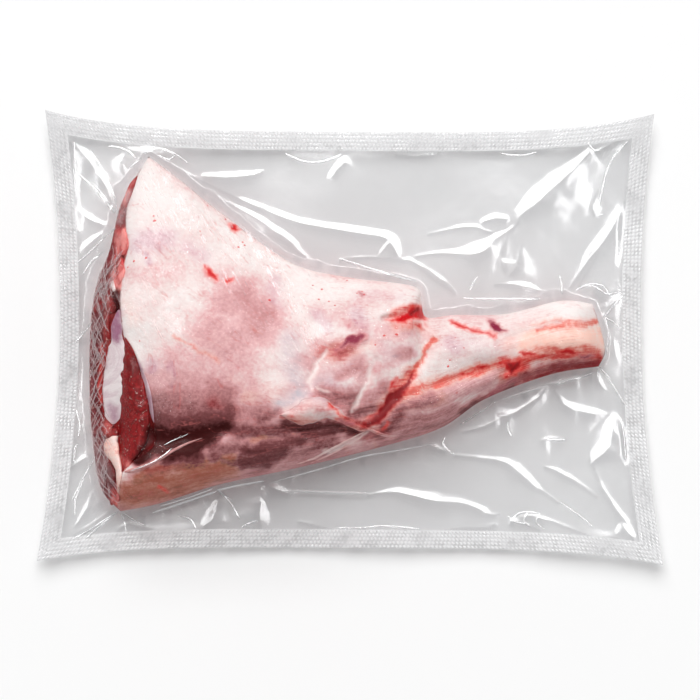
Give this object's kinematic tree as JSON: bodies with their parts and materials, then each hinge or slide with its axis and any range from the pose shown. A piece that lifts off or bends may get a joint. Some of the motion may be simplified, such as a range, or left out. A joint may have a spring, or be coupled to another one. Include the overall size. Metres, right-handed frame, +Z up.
{
  "type": "vacuum-packed raw lamb shank",
  "caption": "Raw lamb shank with a fat cover, a sloping cut face and a knuckle end, vacuum-packed in a clear flat bag with an embossed seal all round.",
  "frame": {"origin": "on the surface that the pack lies on, below the middle of the bag", "axes": "+X along the shank from the cut face to the knuckle, +Y across the bag towards the flap's tip, +Z up"},
  "size_m": [0.2636, 0.1914, 0.0479],
  "materials": {
    "raw_meat": "moist raw meat: pale fat cover, silverskin and dark red cut muscle",
    "clear_film": "clear glossy film, drawn tight and creased",
    "seal_band": "welded film with rows of fine embossed dots"
  },
  "bodies": {
    "root": {"packed_shank": "raw_meat"}
  },
  "joints": []
}
